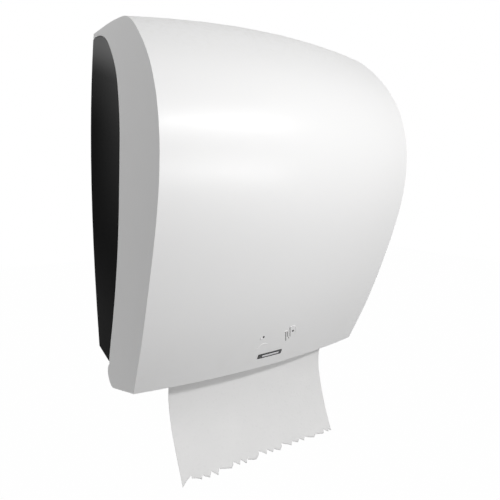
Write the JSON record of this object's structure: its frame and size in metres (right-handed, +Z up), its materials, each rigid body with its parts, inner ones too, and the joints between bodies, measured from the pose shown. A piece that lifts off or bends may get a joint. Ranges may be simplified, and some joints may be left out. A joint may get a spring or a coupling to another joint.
{
  "type": "automatic-cut roll towel dispenser",
  "caption": "Wall-hung roll towel dispenser with a hinged barrel-fronted cover, a feed drum with a swinging knife, and a hanging paper tail.",
  "frame": {"origin": "centre of the four wall screw holes, on the housing's wall face", "axes": "+Y into the wall, -Y out towards the user, +Z up, +X to the user's right as they face it"},
  "size_m": [0.3264, 0.2118, 0.5103],
  "materials": {
    "cover_white": "satin moulded",
    "badge_dark": "gloss",
    "housing_smoke": "polished smoke black",
    "frame_grey": "fine texture",
    "hub_white": "smooth",
    "drum_black": "fine texture",
    "wheel_green": "fine texture",
    "band_rubber": "matte",
    "roller_plastic": "smooth",
    "steel": "bright",
    "lock_metal": "plated",
    "towel_paper": "soft",
    "core_board": "matte"
  },
  "bodies": {
    "housing": {"rear_housing": "housing_smoke", "hinge_pins": "steel", "lock_keeper": "steel", "roll_arm_right": "frame_grey", "roll_arm_left": "frame_grey", "roll_arm_screws": "steel", "fixed_hub": "hub_white", "frame_plate_right": "frame_grey", "frame_plate_left": "frame_grey", "frame_screws": "steel", "axle_bush": "hub_white", "one_way_bearing": "steel", "tie_bar": "steel", "spring_post": "steel", "drive_spring": "steel", "paper_chute": "frame_grey", "top_guide": "frame_grey", "pinch_springs": "steel", "hub_spring": "steel", "paper_tail": "towel_paper"},
    "cover": {"front_cover": "cover_white", "cover_badge": "badge_dark"},
    "lock": {"lock_barrel": "lock_metal", "lock_tongue": "lock_metal"},
    "roll": {"paper_roll": "towel_paper", "roll_core": "core_board"},
    "sprung_hub": {"sprung_hub": "hub_white", "hub_clip": "steel"},
    "drum": {"drum_front_half": "drum_black", "drum_rear_half": "drum_black", "grip_bands": "band_rubber", "drum_axle": "steel", "crank": "drum_black", "hand_wheel": "wheel_green"},
    "knife": {"knife_carrier": "drum_black", "knife_blade": "steel", "knife_pins": "steel"},
    "followers": {"cam_rollers": "roller_plastic"},
    "pinch_arm": {"pinch_arm": "drum_black"},
    "pinch_roller": {"pinch_axle": "steel", "pinch_rollers": "band_rubber"}
  },
  "joints": [
    {"name": "cover_hinge", "type": "hinge", "parent": "housing", "child": "cover", "pos_m": [0, -0.0405, -0.2695], "axis": [1, 0, 0], "range_deg": [0, 100], "deforming": ["paper_tail"]},
    {"name": "lock_turn", "type": "hinge", "parent": "cover", "child": "lock", "pos_m": [0, -0.028, 0.115], "axis": [0, 0, -1], "range_deg": [0, 90]},
    {"name": "roll_spin", "type": "hinge", "parent": "housing", "child": "roll", "pos_m": [0, -0.097, 0.003], "axis": [1, 0, 0], "continuous": true},
    {"name": "hub_slide", "type": "slide", "parent": "housing", "child": "sprung_hub", "axis": [1, 0, 0], "range_m": [0, 0.013], "stiffness_N_per_m": 300, "springref_m": -0.005, "deforming": ["hub_spring"]},
    {"name": "drum_spin", "type": "hinge", "parent": "housing", "child": "drum", "pos_m": [0, -0.062, -0.173], "axis": [1, 0, 0], "continuous": true, "deforming": ["drive_spring"]},
    {"name": "knife_swing", "type": "hinge", "parent": "drum", "child": "knife", "pos_m": [0, -0.03999, -0.19128], "axis": [1, 0, 0], "range_deg": [0, 40], "stiffness_Nm_per_rad": 0.4, "springref_deg": -20.05},
    {"name": "follower_spin", "type": "hinge", "parent": "knife", "child": "followers", "pos_m": [0, -0.0301, -0.18139], "axis": [1, 0, 0], "continuous": true},
    {"name": "pinch_press", "type": "hinge", "parent": "housing", "child": "pinch_arm", "pos_m": [0, -0.123, -0.109], "axis": [-1, 0, 0], "range_deg": [0, 8], "stiffness_Nm_per_rad": 2, "springref_deg": -5.73, "deforming": ["pinch_springs"]},
    {"name": "pinch_spin", "type": "hinge", "parent": "pinch_arm", "child": "pinch_roller", "pos_m": [0, -0.10853, -0.14042], "axis": [1, 0, 0], "continuous": true}
  ],
  "couplings": [
    {"joint": "drum_spin", "follows": "roll_spin", "ratio": -1.9313},
    {"joint": "pinch_spin", "follows": "roll_spin", "ratio": 10}
  ]
}
